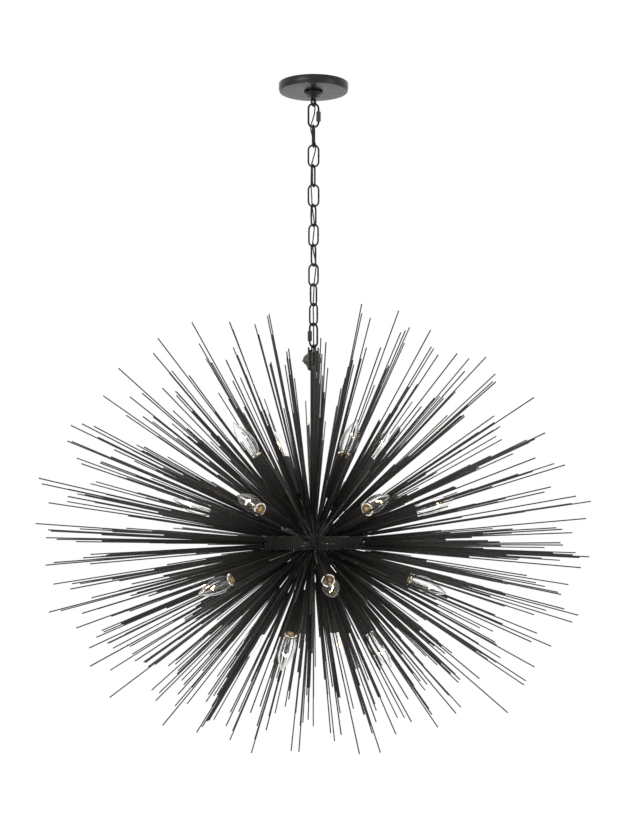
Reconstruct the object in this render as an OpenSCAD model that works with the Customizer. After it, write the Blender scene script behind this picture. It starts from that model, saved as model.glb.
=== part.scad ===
// Chain-hung chandelier: a burst of thin iron rods round a small hub, with twenty candle bulbs.
// Origin: centre of the canopy's top edge, on the ceiling plane. +Z is up, the viewer of the photo stands at -Y.

/* [Canopy] */
// Outside diameter of the ceiling canopy
canopy_d = 141; // [134:1:150]
// Height of the canopy
canopy_h = 16.6; // [15.6:0.2:18]
// Distance between the centres of the two slots in the crossbar
slot_spacing = 79; // [76:1:82]

/* [Chain] */
// Wire diameter of the plain links
link_wire = 3.6; // [3.2:0.1:3.8]
// Outside length of a plain link
link_len = 47.7; // [47:0.1:48.4]
// Outside width of every link
link_w = 24.4; // [24:0.1:25.5]
// Outside length of the two screw links
quick_len = 52; // [51:0.5:53]
// Outside diameter of the power cord
cord_d = 2.6; // [2.2:0.1:2.8]

/* [Hub] */
// Radius of the hub's ball
hub_r = 55; // [54:0.5:56]
// Outside radius of the band of pins round the hub
band_r = 101.1; // [98:0.5:104]
// Outside diameter of the stem
stem_d = 13; // [12.6:0.1:13]

/* [Lights] */
// Outside diameter of a socket sleeve
sleeve_d = 29.5; // [28:0.5:30]
// Distance from the hub's centre to the mouth of a sleeve
mouth_r = 218; // [212:1:226]

/* [Rods] */
// Diameter of one rod
rod_d = 2.5; // [2:0.1:2.6]
// Farthest reach of the rods sideways, from the hub's centre
reach_side = 552; // [500:2:600]
// Farthest reach of the rods upward
reach_up = 470; // [430:2:500]
// Farthest reach of the rods downward
reach_down = 432; // [400:2:470]

/* [Hidden] */
$fn = 48;

iron = [0.17, 0.16, 0.15];
iron_light = [0.26, 0.25, 0.24];
clear = [0.92, 0.9, 0.84, 0.45];

// Heights along the hanging axis
hub_z = -932;
loop_z = -44.7;          // centre of the canopy eye's lowest wire
loop_wire = 4.5;
quick_wire = 4;
eye_wire = 3.5;
link_gap = 0.25;         // play between two links that hang in each other
rim_z = 13;              // half height of the band
flange_z = 11;           // outer face of the hub's flanges, from the hub's middle
stem_top = -550;

// Chain: the turn of each link's plane about the hanging axis, 0 is face-on to the viewer
link_turn = [62, 0, 80, 0, 75, -3, 64, -27, 66, -28, 55, -43, 42, 130];
function quick(k) = k == 1 || k == 12;
function wire(k) = k == 0 ? loop_wire : quick(k) ? quick_wire : link_wire;
function length_of(k) = (quick(k) ? quick_len : link_len) - wire(k);
function z_top(k) = z_low(k - 1) + (wire(k - 1) + wire(k)) / 2 + link_gap;
function z_low(k) = k == 0 ? loop_z : z_top(k) - length_of(k);
eye_z = z_low(12) + (quick_wire + eye_wire) / 2 + link_gap;   // centre of the fixture eye's top wire

// Lights: [direction round the axis, height angle], 0 is toward the viewer, positive is to the right
LIGHTS = [
  [-62, 53], [28, 53], [118, 53], [208, 53],
  [-30, 17.4], [30, 17.4], [90, 17.4], [150, 17.4], [210, 17.4], [270, 17.4],
  [8, -19.5], [68, -19.5], [128, -19.5], [188, -19.5], [248, -19.5], [308, -19.5],
  [-22, -56], [68, -56], [158, -56], [248, -56]];

// Longest rods of the silhouette, read by eye: [clock angle, reach, lean in depth, rods in the bundle]
TIPS = [
  [12, 491, 8, 2], [20, 497, -7, 2], [24, 497, 9, 1], [31, 461, -6, 3], [40, 501, 6, 2],
  [48, 485, -8, 3], [58, 460, 8, 3], [65, 479, -6, 3], [72, 552, 14, 3], [77, 492, -14, 3],
  [82, 548, 8, 2], [85, 548, -8, 2], [88, 526, 0, 3], [92, 550, 8, 2], [95, 538, -8, 3],
  [99, 526, 1, 3], [105, 550, -7, 3], [112, 500, 6, 3], [119, 508, -8, 3], [124, 530, 7, 3],
  [131, 518, -7, 2], [146, 463, 7, 3], [162, 443, -8, 3], [174, 428, 13, 2],
  [186, 424, -13, 3], [197, 432, 10, 3], [212, 448, -8, 3], [226, 450, 8, 2], [233, 514, -6, 2],
  [242, 474, 8, 3], [250, 506, -7, 3], [255, 546, 7, 3], [261, 556, 9, 2], [265, 540, -6, 3],
  [271, 562, 8, 2], [274, 558, -8, 3], [277, 546, 1, 2], [283, 566, -13, 3], [290, 548, 14, 3],
  [298, 500, -7, 3], [305, 536, 7, 3], [312, 526, -6, 2], [320, 465, 7, 3], [331, 506, -8, 2],
  [338, 440, 7, 3], [345, 456, -8, 1], [349, 491, 9, 1]];

// Cord: where it passes through the chain
CORD = [[0, 0, -1], [0, 0, -14], [0, 0, -27], [0, -0.2, -31.5], [0.6, -1.9, -34.5],
  [1.4, -3.8, -37.5], [2.1, -5.3, -41], [2.7, -5.6, -46], [2.6, -3.6, -55], [0.8, -0.8, -65],
  [-2.8, 2.2, -76], [-5.5, 4.2, -86], [-4.8, 2.6, -96], [-2.2, 0, -106], [1.5, -2.6, -116],
  [4.2, -4.2, -126], [3.6, -2.4, -136], [1, 0, -146], [-2, 2.6, -156], [-4.2, 4.2, -166.6],
  [-4.7, 0, -187], [-5, -3.7, -206.8], [-3.7, 0, -227], [-2.7, 4.6, -247], [-0.5, 0, -267],
  [1.7, -5.1, -287.3], [0, 0, -307.5], [-1.8, 5.1, -327.6], [1.6, 3.4, -347.7],
  [5.1, 1.8, -367.8], [3.2, -1.7, -388], [1.3, -5.3, -408], [0.3, 0, -428], [-0.6, 5.4, -448.3],
  [-0.3, 0, -468.5], [0, -5.4, -488.6], [0.2, 0, -510.5], [0.4, 5.4, -532.4], [0.3, 4.6, -538],
  [0, 1.8, -543.5], [0, 0, -549], [0, 0, -600], [0, 0, -700], [0, 0, -800], [0, 0, -908]];

// ---------------------------------------------------------------- helpers

// A ring of round wire standing in the XZ plane, part of a turn
module arc_wire(r, w, turn = 360) rotate([90, 0, 0]) rotate_extrude(angle = turn) translate([r, 0]) circle(d = w, $fn = 32);

// An oval of round wire in the XZ plane, its centre at the origin
module oval(len, width, w) {
  r = (width - w) / 2;
  s = len / 2 - width / 2;
  translate([0, 0, s]) arc_wire(r, w, 180);
  translate([0, 0, -s]) rotate([0, 180, 0]) arc_wire(r, w, 180);
  for (x = [-r, r]) translate([x, 0, -s]) cylinder(d = w, h = 2 * s, $fn = 32);
}

// Places a link so that it hangs where it should
module hang(k) translate([0, 0, (z_top(k) + z_low(k)) / 2]) rotate([0, 0, link_turn[k]]) children();

module plain_link(k) color(iron) hang(k) oval(link_len, link_w, link_wire);

// A screw link: an oval with a gap in one leg, side is 1 for the right leg and -1 for the left
module quick_link(k, side) color(iron) hang(k) difference() {
  oval(quick_len, link_w, quick_wire);
  translate([side * (link_w - quick_wire) / 2, 0, -9.5]) cube([quick_wire + 2, quick_wire + 2, 5], center = true);
}

// The sleeve nut on a screw link, closed over the gap
module sleeve_nut(k, side) color(iron_light) hang(k)
  translate([side * (link_w - quick_wire) / 2, 0, -12.4]) difference() {
    intersection() {
      cylinder(d = 9.6, h = 20, $fn = 6);
      union() {
        cylinder(d1 = 8, d2 = 9.8, h = 1.2, $fn = 48);
        translate([0, 0, 1.2]) cylinder(d = 9.8, h = 17.6, $fn = 48);
        translate([0, 0, 18.8]) cylinder(d1 = 9.8, d2 = 8, h = 1.2, $fn = 48);
      }
    }
    translate([0, 0, -1]) cylinder(d = quick_wire + 0.2, h = 22);
  }

// Turns +Z to a direction from the hub's centre
module radial(a, e) translate([0, 0, hub_z]) rotate([0, 0, a - 90]) rotate([0, 90 - e, 0]) children();

function away(a, e) = [cos(e) * sin(a), -cos(e) * cos(a), sin(e)];

// A point on a smooth curve through points
function blend_at(p, i, t) =
  let (a = p[max(i - 1, 0)], b = p[i], c = p[i + 1], d = p[min(i + 2, len(p) - 1)])
  0.5 * ((2 * b) + (c - a) * t + (2 * a - 5 * b + 4 * c - d) * t * t + (3 * b - a - 3 * c + d) * t * t * t);
function unit(v) = v / norm(v);

// A round tube along points: rings of 8 corners and two end caps
module tube(p, d) {
  n = len(p);
  pts = [for (i = [0:n - 1])
    let (t = unit(p[min(i + 1, n - 1)] - p[max(i - 1, 0)]), u = unit(cross(t, [0, 1, 0])), v = cross(t, u))
      for (s = [0:7]) p[i] + d / 2 * (cos(45 * s) * u + sin(45 * s) * v)];
  faces = concat([[for (s = [0:7]) s]], [[for (s = [7:-1:0]) (n - 1) * 8 + s]],
    [for (i = [0:n - 2]) for (s = [0:7]) [i * 8 + s, (i + 1) * 8 + s, (i + 1) * 8 + (s + 1) % 8, i * 8 + (s + 1) % 8]]);
  polyhedron(pts, faces);
}

// ---------------------------------------------------------------- at the ceiling

// Flat strap with a centre hole and two slots for the ceiling box's screws
module crossbar() color(iron_light) difference() {
  translate([-56, -11, -2]) cube([112, 22, 2]);
  translate([0, 0, -3]) cylinder(d = 9.8, h = 4);
  for (s = [-1, 1]) translate([s * slot_spacing / 2, 0, -3]) {
    for (t = [-1, 1]) translate([t * 6.5, 0, 0]) cylinder(d = 5, h = 4);
    translate([-6.5, -2.5, 0]) cube([13, 5, 4]);
  }
}

module threaded_nipple() color(iron_light) translate([0, 0, -17.5]) difference() {
  cylinder(d = 9.7, h = 17.5);
  translate([0, 0, -1]) cylinder(d = 6.2, h = 20);
}

module nipple_locknut() color(iron_light) translate([0, 0, -5]) difference() {
  cylinder(d = 16, h = 3, $fn = 6);
  translate([0, 0, -1]) cylinder(d = 9.8, h = 5);
}

// Threaded barrel with an eye under it
module canopy_loop() color(iron) difference() {
  union() {
    translate([0, 0, -24]) cylinder(d = 25, h = 19);
    translate([0, 0, -27.5]) cylinder(d1 = 15, d2 = 22, h = 3.5);
    translate([0, 0, -31]) cylinder(d1 = 9, d2 = 14, h = 3.5);
    translate([0, 0, loop_z + 7.75]) rotate([0, 0, link_turn[0]]) arc_wire(7.75, loop_wire);
  }
  translate([0, 0, -17.5]) cylinder(d = 9.8, h = 20);
  translate([0, 0, -34]) cylinder(d = 5, h = 20);
}

module collar_ring() color(iron) rotate_extrude() polygon([
  [12.7, -16.8], [18.6, -16.8], [19, -17.3], [19, -20.4], [18.6, -21.6], [17.6, -22.5],
  [16, -23], [15, -24.4], [14.2, -24.9], [12.7, -24.9]]);

// Pressed pan with a rolled lower edge and a shallow groove inside it
module canopy() color(iron_light) rotate_extrude(convexity = 4) polygon([
  [canopy_d / 2, -0.2], [canopy_d / 2, -canopy_h + 2.6], [canopy_d / 2 - 0.6, -canopy_h + 1],
  [canopy_d / 2 - 1.8, -canopy_h + 0.15], [canopy_d / 2 - 3, -canopy_h], [canopy_d / 2 - 4, -canopy_h + 0.7],
  [canopy_d / 2 - 5, -canopy_h + 0.7], [canopy_d / 2 - 5.8, -canopy_h], [12.9, -canopy_h],
  [12.9, -canopy_h + 1.2], [canopy_d / 2 - 6.5, -canopy_h + 1.2], [canopy_d / 2 - 5, -canopy_h + 1.9],
  [canopy_d / 2 - 2.6, -canopy_h + 1.5], [canopy_d / 2 - 1.7, -canopy_h + 2.4], [canopy_d / 2 - 1.2, -canopy_h + 3.6],
  [canopy_d / 2 - 1.2, -0.2]]);

// ---------------------------------------------------------------- chain and cord

module link_01() quick_link(1, 1);
module link_02() plain_link(2);
module link_03() plain_link(3);
module link_04() plain_link(4);
module link_05() plain_link(5);
module link_06() plain_link(6);
module link_07() plain_link(7);
module link_08() plain_link(8);
module link_09() plain_link(9);
module link_10() plain_link(10);
module link_11() plain_link(11);
module link_12() quick_link(12, -1);
module upper_link_nut() sleeve_nut(1, 1);
module lower_link_nut() sleeve_nut(12, -1);

// The points that are far apart in the chain get two steps each, the straight end in the stem one
module power_cord() color([0.1, 0.1, 0.1]) tube(concat(
  [for (i = [0:18]) CORD[i]],
  [for (i = [19:36]) for (s = [0, 0.5]) blend_at(CORD, i, s)],
  [for (i = [37:len(CORD) - 1]) CORD[i]]), cord_d);

// ---------------------------------------------------------------- stem and hub

// Plug with a long eye, hollow for the cord
module fixture_loop() color(iron) difference() {
  union() {
    translate([0, 0, eye_z - 5.25]) rotate([0, 0, link_turn[13]]) {
      arc_wire(5.25, eye_wire, 180);
      for (x = [-5.25, 5.25]) translate([x, 0, -548 - eye_z + 5.25]) cylinder(d = eye_wire, h = eye_z - 5.25 + 548, $fn = 32);
    }
    translate([0, 0, stem_top]) cylinder(d = 15, h = 4);
    translate([0, 0, stem_top - 12]) cylinder(d = 9.9, h = 12.5);
  }
  translate([0, 0, stem_top - 13]) cylinder(d = 5, h = 20);
}

// Rough lump of short bar ends welded round the top of the stem
// [direction, tilt, height on the stem, length, height of the bar, thickness]
BURR = [
  [-96, 8, -563, 24, 13, 4.5], [-84, 34, -560, 22, 9, 4], [-90, -38, -565, 22, 10, 4.5],
  [84, 3, -562, 18.5, 14, 5], [98, 38, -559, 17, 8, 4], [88, -52, -563, 22, 8, 4.5],
  [-40, 14, -561, 18, 11, 4.5], [-52, -30, -566, 17, 9, 4], [12, -8, -564, 19, 12, 5],
  [40, 26, -561, 17, 9, 4.5], [140, 12, -562, 18, 12, 5], [178, -16, -565, 19, 11, 4.5],
  [-140, 20, -561, 19, 10, 4.5], [-150, -34, -566, 18, 8, 4]];
// upright stubs: [x, y, lowest, highest]
STUBS = [[9.6, -3.4, -585, -536], [-9.8, -1.6, -578, -537], [4.6, 9, -582, -540],
  [-5, 8.8, -576, -539], [-3.4, -9.4, -580, -541], [6.2, -8.2, -584, -543]];
module knuckle() color(iron_light) difference() {
  union() {
    for (b = BURR) translate([0, 0, b[2]]) rotate([0, 0, b[0] - 90]) rotate([0, -b[1], 0])
      translate([0, -b[5] / 2, -b[4] / 2]) cube([b[3], b[5], b[4]]);
    for (s = STUBS) translate([s[0] - 1.6, s[1] - 1.6, s[2]]) cube([3.2, 3.2, s[3] - s[2]]);
    translate([0, 0, -575]) cylinder(d = 18.4, h = 20);
  }
  translate([0, 0, -610]) cylinder(d = stem_d, h = 60);
  translate([0, 0, -550.001]) cylinder(d = 15.2, h = 30);
}

module stem() color(iron) translate([0, 0, hub_z + hub_r - 0.2]) difference() {
  cylinder(d = stem_d, h = stem_top - hub_z - hub_r + 0.2);
  translate([0, 0, -1]) cylinder(d = 10, h = 400);
}

// Half ball with a flange, up is 1 for the upper one and -1 for the lower one
module half_hub(up) translate([0, 0, hub_z]) difference() {
  mirror([0, 0, up > 0 ? 0 : 1]) difference() {
    union() {
      intersection() {
        sphere(r = hub_r, $fn = 96);
        translate([-hub_r, -hub_r, flange_z - 1.5]) cube([2 * hub_r, 2 * hub_r, hub_r]);
      }
      translate([0, 0, flange_z - 1.5]) cylinder(r = band_r - 4.6, h = 1.5, $fn = 96);
    }
    sphere(r = hub_r - 2, $fn = 96);
  }
  translate([0, 0, -80]) cylinder(d = 9.8, h = 160);
  for (s = LIGHTS) if (s[1] * up > 0) translate([0, 0, -hub_z]) radial(s[0], s[1]) translate([0, 0, 40]) cylinder(d = 5.2, h = 30);
}
module hub_upper_shell() color(iron) half_hub(1);
module hub_lower_shell() color(iron) half_hub(-1);

module hub_band() color(iron) translate([0, 0, hub_z - rim_z]) difference() {
  cylinder(r = band_r - 2.6, h = 2 * rim_z, $fn = 96);
  translate([0, 0, -1]) cylinder(r = band_r - 4.6, h = 2 * rim_z + 2, $fn = 96);
}

module hub_band_pins() color(iron_light) for (i = [0:149])
  rotate([0, 0, 2.4 * i]) translate([band_r - 1.25, 0, hub_z - rim_z]) cylinder(d = 2.4, h = 2 * rim_z, $fn = 24);

// Hollow threaded rod with a window for the wires
module tie_rod() color(iron_light) difference() {
  translate([0, 0, hub_z - 61]) cylinder(d = 9.6, h = 132);
  translate([0, 0, hub_z - 62]) cylinder(d = 6.4, h = 140);
  translate([0, -6, hub_z - 6]) rotate([0, 0, 0]) cube([5.2, 12, 26], center = true);
}

module bottom_nut() color(iron) translate([0, 0, hub_z - hub_r]) difference() {
  rotate_extrude() polygon([[0, -10.4], [3, -10.2], [6, -9.2], [8, -7.6], [9, -5.4], [9, 0.8], [0, 0.8]]);
  translate([0, 0, -6.4]) cylinder(d = 9.8, h = 10);
  translate([0, 0, hub_r]) sphere(r = hub_r, $fn = 96);
}

module wire_connectors() color([0.75, 0.45, 0.15]) for (s = [-1, 1])
  translate([s * 14, 0, hub_z - 11]) rotate_extrude() polygon([[0, 0], [4.6, 0], [5.4, 3], [4.6, 18], [3.4, 21], [0, 22]]);

module socket_leads() color([0.8, 0.8, 0.76]) for (s = LIGHTS) radial(s[0], s[1]) translate([0, 0, 31]) cylinder(d = 3, h = 140.9, $fn = 24);

// ---------------------------------------------------------------- lights

module socket_arms() color(iron) for (s = LIGHTS) radial(s[0], s[1]) translate([0, 0, hub_r]) difference() {
  cylinder(d = 8, h = 118 - hub_r, $fn = 32);
  translate([0, 0, -1]) cylinder(d = 5.2, h = 80, $fn = 32);
}

module socket_sleeves() color(iron) for (s = LIGHTS) radial(s[0], s[1]) translate([0, 0, 118]) difference() {
  cylinder(d = sleeve_d, h = mouth_r - 118);
  translate([0, 0, 2]) cylinder(d = sleeve_d - 2.4, h = 200);
  translate([0, 0, -1]) cylinder(d = 5.2, h = 4, $fn = 32);
}

module lampholders() color([0.8, 0.8, 0.78]) for (s = LIGHTS) radial(s[0], s[1]) difference() {
  translate([0, 0, 172]) cylinder(d = sleeve_d - 2.7, h = mouth_r - 3.5 - 172);
  translate([0, 0, mouth_r - 26]) cylinder(d = 12.2, h = 40);
  translate([0, 0, mouth_r - 6.5]) cylinder(d = sleeve_d - 7, h = 8);
}

// Screw base and glass of one bulb, hollow, and its contact
BULB_OUT = [[5.9, -23], [5.9, -5], [6.6, -3], [8.2, -0.5], [11.5, 4], [14.6, 11], [16.4, 19], [17, 26],
  [16.8, 33], [15.8, 41], [14, 49], [11.6, 57], [8.8, 64.5], [6, 71], [3.6, 76], [1.8, 79.2], [0, 80.6]];
BULB_IN = [[0, 79.2], [2.8, 75], [5.1, 70.4], [7.9, 64], [10.7, 56.6], [13.1, 48.7], [14.9, 40.8],
  [15.9, 32.9], [16.1, 26], [15.5, 19.2], [13.8, 11.4], [10.8, 4.7], [7.5, 0.2], [5.7, -2.5], [5, -5], [5, -23]];
module bulb(i) color(clear) radial(LIGHTS[i][0], LIGHTS[i][1]) translate([0, 0, mouth_r]) {
  rotate_extrude() polygon(concat(BULB_OUT, BULB_IN));
  translate([0, 0, -24]) cylinder(d = 9.6, h = 3);
}
module bulb_01() bulb(0);
module bulb_02() bulb(1);
module bulb_03() bulb(2);
module bulb_04() bulb(3);
module bulb_05() bulb(4);
module bulb_06() bulb(5);
module bulb_07() bulb(6);
module bulb_08() bulb(7);
module bulb_09() bulb(8);
module bulb_10() bulb(9);
module bulb_11() bulb(10);
module bulb_12() bulb(11);
module bulb_13() bulb(12);
module bulb_14() bulb(13);
module bulb_15() bulb(14);
module bulb_16() bulb(15);
module bulb_17() bulb(16);
module bulb_18() bulb(17);
module bulb_19() bulb(18);
module bulb_20() bulb(19);

// ---------------------------------------------------------------- rods

pitch = rod_d + 0.04;    // between two rods that lie side by side
n_band = 44;             // places round the band, at each of its three heights
n_try = 8000;            // places tried for the bundles, most are too near another one
function chance(i, s) = let (v = sin(i * 127.137 + s * 311.713) * 43758.5453) v - floor(v);
function clip(t) = max(0, min(1, t));

// How far the outline reaches in a direction of height angle e
function reach(e) = 1 / norm([cos(e) / reach_side, sin(e) / (e > 0 ? reach_up : reach_down)]);

// Flat rods stand on the outer face of the band's pins, the others on the flange or on the ball
function on_band(e) = abs(e) < 7;
function start_of(e) = let (f = abs(e)) on_band(e) ? (band_r + 0.05 + rod_d / 2 * sin(f)) / cos(f)
  : max(hub_r, (flange_z + 0.05 + rod_d / 2 * cos(f)) / sin(f));

// The rods of one flat bundle, each as its two end points from the hub's centre. shape is [rods, turn about
// their direction], far is the longest reach, i picks the chances, and a full bundle has no short rods
function bundle(a, e, shape, far, full, i) = let (
    n = shape[0], roll = shape[1], out = away(a, e), first = floor(n * chance(i, 5)),
    side = pitch * (cos(roll) * [sin(e) * sin(a), -sin(e) * cos(a), -cos(e)] + sin(roll) * [cos(a), sin(a), 0]))
  [for (j = [0:n - 1]) let (
      k = j - (n - 1) / 2,
      s = on_band(e) ? start_of(e) + abs(k) * pitch * tan(abs(e)) + (j == first ? 0 : 16 * chance(i, 20 + j))
        : j == first ? start_of(e) : max(start_of(e), 62) + 10 + 30 * chance(i, 20 + j),
      t = j == first ? far : far * (full ? 1 - 0.16 * chance(i, 10 + j) : 0.84 - 0.4 * chance(i, 10 + j)))
    [k * side + s * out, k * side + t * out]];

// Shortest distance between the axes of two rods
function gap(p, q) = let (u = p[1] - p[0], v = q[1] - q[0], w = p[0] - q[0],
    a = u * u, b = u * v, c = v * v, d = u * w, e = v * w, m = a * c - b * b,
    s = m > 0.01 ? clip((b * e - c * d) / m) : 0, t = (b * s + e) / c,
    r = t < 0 ? clip(-d / a) : t > 1 ? clip((b - d) / a) : s)
  norm(w + r * u - clip(t) * v);

// What stands near a direction: arms, sleeves and bulbs, the stem, the nut below, as axes with a radius
function solids_near(v) = concat(
  [for (s = LIGHTS) let (l = away(s[0], s[1])) if (l * v > 0.88)
    each [[[55 * l, 118 * l], 4], [[118 * l, mouth_r * l], sleeve_d / 2], [[mouth_r * l, (mouth_r + 87) * l], 17]]],
  v[2] > 0.7 ? [[[[0, 0, 55], [0, 0, 382]], stem_d / 2]] : [],
  v[2] < -0.7 ? [[[[0, 0, -54], [0, 0, -66]], 9.2]] : []);

// Whether a rod passes over the flange and the band
function over_band(p, e) = let (
    r = norm([p[0][0], p[0][1]]), z = abs(p[0][2]), h = rod_d / 2 * cos(e), ring = band_r - 4.6 - rod_d / 2 * sin(abs(e)))
  on_band(e) || abs(e) > 30 || r > band_r + 1 || (r < ring ? z >= flange_z + h + 0.02 && z + (ring - r) * tan(abs(e)) >= rim_z + h + 0.05 : z >= rim_z + h + 0.05);

function is_clear(b, e, near, solids) =
  len([for (p = b) if (!over_band(p, e)) 1]) == 0
  && min([for (p = b) for (s = solids) gap(p, s[0]) - s[1] - rod_d / 2, 9]) > 0.3
  && min([for (p = b) for (q = near) gap(p, q), 9]) > rod_d + 0.02;

// The first of some shapes that is clear of everything placed before, or nothing
function first_clear(a, e, shapes, far, full, i, near, solids, k = 0) = k == len(shapes) ? [] :
  let (b = bundle(a, e, shapes[k], far, full, i)) is_clear(b, e, near, solids) ? b
    : first_clear(a, e, shapes, far, full, i, near, solids, k + 1);

// One place: [direction, height angle, least angle to other bundles, farthest reach, full, shapes to try]
function tip_place(t) = let (a = atan2(sin(t[0]), -tan(t[2])), e = asin(cos(t[0]) * cos(t[2])),
    f = abs(e) > 6.7 ? max(abs(e), 8.5) : min(abs(e), 5))
  [a, e < 0 ? -f : f, 0, t[1], false, [for (n = [t[3]:-1:1]) for (r = f < 30 ? [0, 15, 165, 30, 150, 45, 135, 90] : [0, 90, 45, 135, 20, 160]) [n, r]]];
// On the band, but not over the ribs that show in front
function band_place(i) = let (h = i % 3, a = 360 / n_band * (i / 3) + 2 * chance(i, 31) - 1, front = abs(((a + 540) % 360) - 180))
  [a, [-3.5, 3.5, 0][h] + 1.6 * chance(i, 32) - 0.8, front < 62 && front > 9 ? 180 : 4.5, reach_side * (0.78 + 0.24 * chance(i, 33)),
    chance(i, 34) < 0.25, [for (n = [[1, 2, 2, 3, 3, 4][floor(6 * chance(i, 35))]:-1:1]) [n, [0, 0, 0, 15, 165, 90][floor(6 * chance(i, 36))]]]];
// Anywhere else, with shorter rods beside the chain
function ball_place(i) = let (a = 360 * chance(i, 41), e = asin(1 - 2 * chance(i, 42)), v = away(a, e),
    far = reach(e) * (0.76 + 0.28 * chance(i, 43)), u = chance(i, 44), r = 15 * floor(12 * chance(i, 45)),
    most = u < 0.3 ? 1 : u < 0.56 ? 2 : u < 0.77 ? 3 : u < 0.91 ? 4 : 5)
  [a, e, abs(e) < 8.5 || e > 79 || e < -78 ? 180 : abs(e) < 26 ? 5.8 : 7.15,
    abs(v[0]) < 0.14 * abs(v[2]) ? min(far, (400 - 12 * chance(i, 46)) / norm([v[0], v[2]])) : far,
    chance(i, 47) < 0.15, [for (n = [most:-1:1]) for (s = [0, 90, 45]) [n, (r + s) % 180]]];
function place(i) = i < len(TIPS) ? tip_place(TIPS[i]) : i < len(TIPS) + 3 * n_band ? band_place(i - len(TIPS)) : ball_place(i);

// The bundles placed so far with the next one, if it is far enough from them and clear
function with_next(all, i) = let (p = place(i), v = away(p[0], p[1]))
  p[2] > 0 && (p[2] > 90 || max([for (b = all) b[0] * v]) > cos(p[2])) ? all : let (
    rods = first_clear(p[0], p[1], p[5], p[3], p[4], i, [for (b = all) if (b[0] * v > 0.95) each b[3]], solids_near(v)))
  len(rods) == 0 ? all : concat(all, [[v, p[0], p[1], rods]]);
function every_bundle() = [for (i = 0, all = []; i <= n_try; all = i < n_try ? with_next(all, i) : all, i = i + 1) if (i == n_try) all][0];

// Every rod whose height angle is between two limits
module rods_between(low, high) for (b = every_bundle()) if (b[2] > low && b[2] <= high) for (p = b[3])
  translate([0, 0, hub_z] + p[0]) rotate([0, 0, b[1] - 90]) rotate([0, 90 - b[2], 0]) cylinder(d = rod_d, h = norm(p[1] - p[0]), $fn = 24);

module rods_top() color(iron) rods_between(38, 90);
module rods_upper() color(iron) rods_between(15, 38);
module rods_equator() color(iron) rods_between(-5.5, 15);
module rods_lower() color(iron) rods_between(-33, -5.5);
module rods_bottom() color(iron) rods_between(-90, -33);

crossbar();
threaded_nipple();
nipple_locknut();
canopy_loop();
collar_ring();
canopy();
link_01();
link_02();
link_03();
link_04();
link_05();
link_06();
link_07();
link_08();
link_09();
link_10();
link_11();
link_12();
upper_link_nut();
lower_link_nut();
power_cord();
fixture_loop();
knuckle();
stem();
hub_upper_shell();
hub_lower_shell();
hub_band();
hub_band_pins();
tie_rod();
bottom_nut();
wire_connectors();
socket_leads();
socket_arms();
socket_sleeves();
lampholders();
rods_top();
rods_upper();
rods_equator();
rods_lower();
rods_bottom();
bulb_01();
bulb_02();
bulb_03();
bulb_04();
bulb_05();
bulb_06();
bulb_07();
bulb_08();
bulb_09();
bulb_10();
bulb_11();
bulb_12();
bulb_13();
bulb_14();
bulb_15();
bulb_16();
bulb_17();
bulb_18();
bulb_19();
bulb_20();
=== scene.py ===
# Chain-hung chandelier: a burst of iron rods round a small hub, with twenty clear candle bulbs.
# Lengths in this file are millimetres in the row frame and become metres when a mesh is made.
import math

import bmesh
import bpy
import numpy as np
from mathutils import Matrix, Vector


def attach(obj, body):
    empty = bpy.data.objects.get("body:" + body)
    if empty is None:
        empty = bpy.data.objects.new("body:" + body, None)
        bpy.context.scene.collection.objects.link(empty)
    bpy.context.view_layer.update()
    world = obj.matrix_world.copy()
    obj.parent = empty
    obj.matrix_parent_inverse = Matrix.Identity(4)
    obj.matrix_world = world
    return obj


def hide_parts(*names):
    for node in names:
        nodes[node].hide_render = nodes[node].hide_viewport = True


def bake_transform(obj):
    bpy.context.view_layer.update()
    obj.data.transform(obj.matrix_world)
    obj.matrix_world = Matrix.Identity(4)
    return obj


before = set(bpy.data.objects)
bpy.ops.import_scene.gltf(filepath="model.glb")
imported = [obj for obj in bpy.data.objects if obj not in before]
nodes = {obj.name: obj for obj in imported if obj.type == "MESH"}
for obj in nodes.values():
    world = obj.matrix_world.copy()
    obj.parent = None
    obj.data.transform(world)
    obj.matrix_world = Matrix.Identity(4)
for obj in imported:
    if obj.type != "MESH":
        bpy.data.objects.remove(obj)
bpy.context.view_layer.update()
scene = bpy.context.scene
rng = np.random.default_rng(7)

MM = 0.001
HUB = np.array([0.0, 0.0, -932.0])
HUB_R = 55.0
MOUTH = 218.0
LIGHTS = [(-62, 53), (28, 53), (118, 53), (208, 53),
          (-30, 17.4), (30, 17.4), (90, 17.4), (150, 17.4), (210, 17.4), (270, 17.4),
          (8, -19.5), (68, -19.5), (128, -19.5), (188, -19.5), (248, -19.5), (308, -19.5),
          (-22, -56), (68, -56), (158, -56), (248, -56)]


# ------------------------------------------------------------------ camera, world, lights, floor

def make_camera():
    cam = bpy.data.cameras.new("camera")
    cam.sensor_width = 36.0
    cam.lens = 70.05
    cam.clip_start, cam.clip_end = 0.05, 60
    obj = bpy.data.objects.new("camera", cam)
    scene.collection.objects.link(obj)
    # The photo's camera is level with the burst, and its frame lies higher than that: verticals stay upright
    obj.location = (0, -3.27, -0.932)
    cam.shift_y = 0.1558
    obj.rotation_euler = (math.radians(90), 0, math.radians(0.107))
    scene.camera = obj


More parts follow.
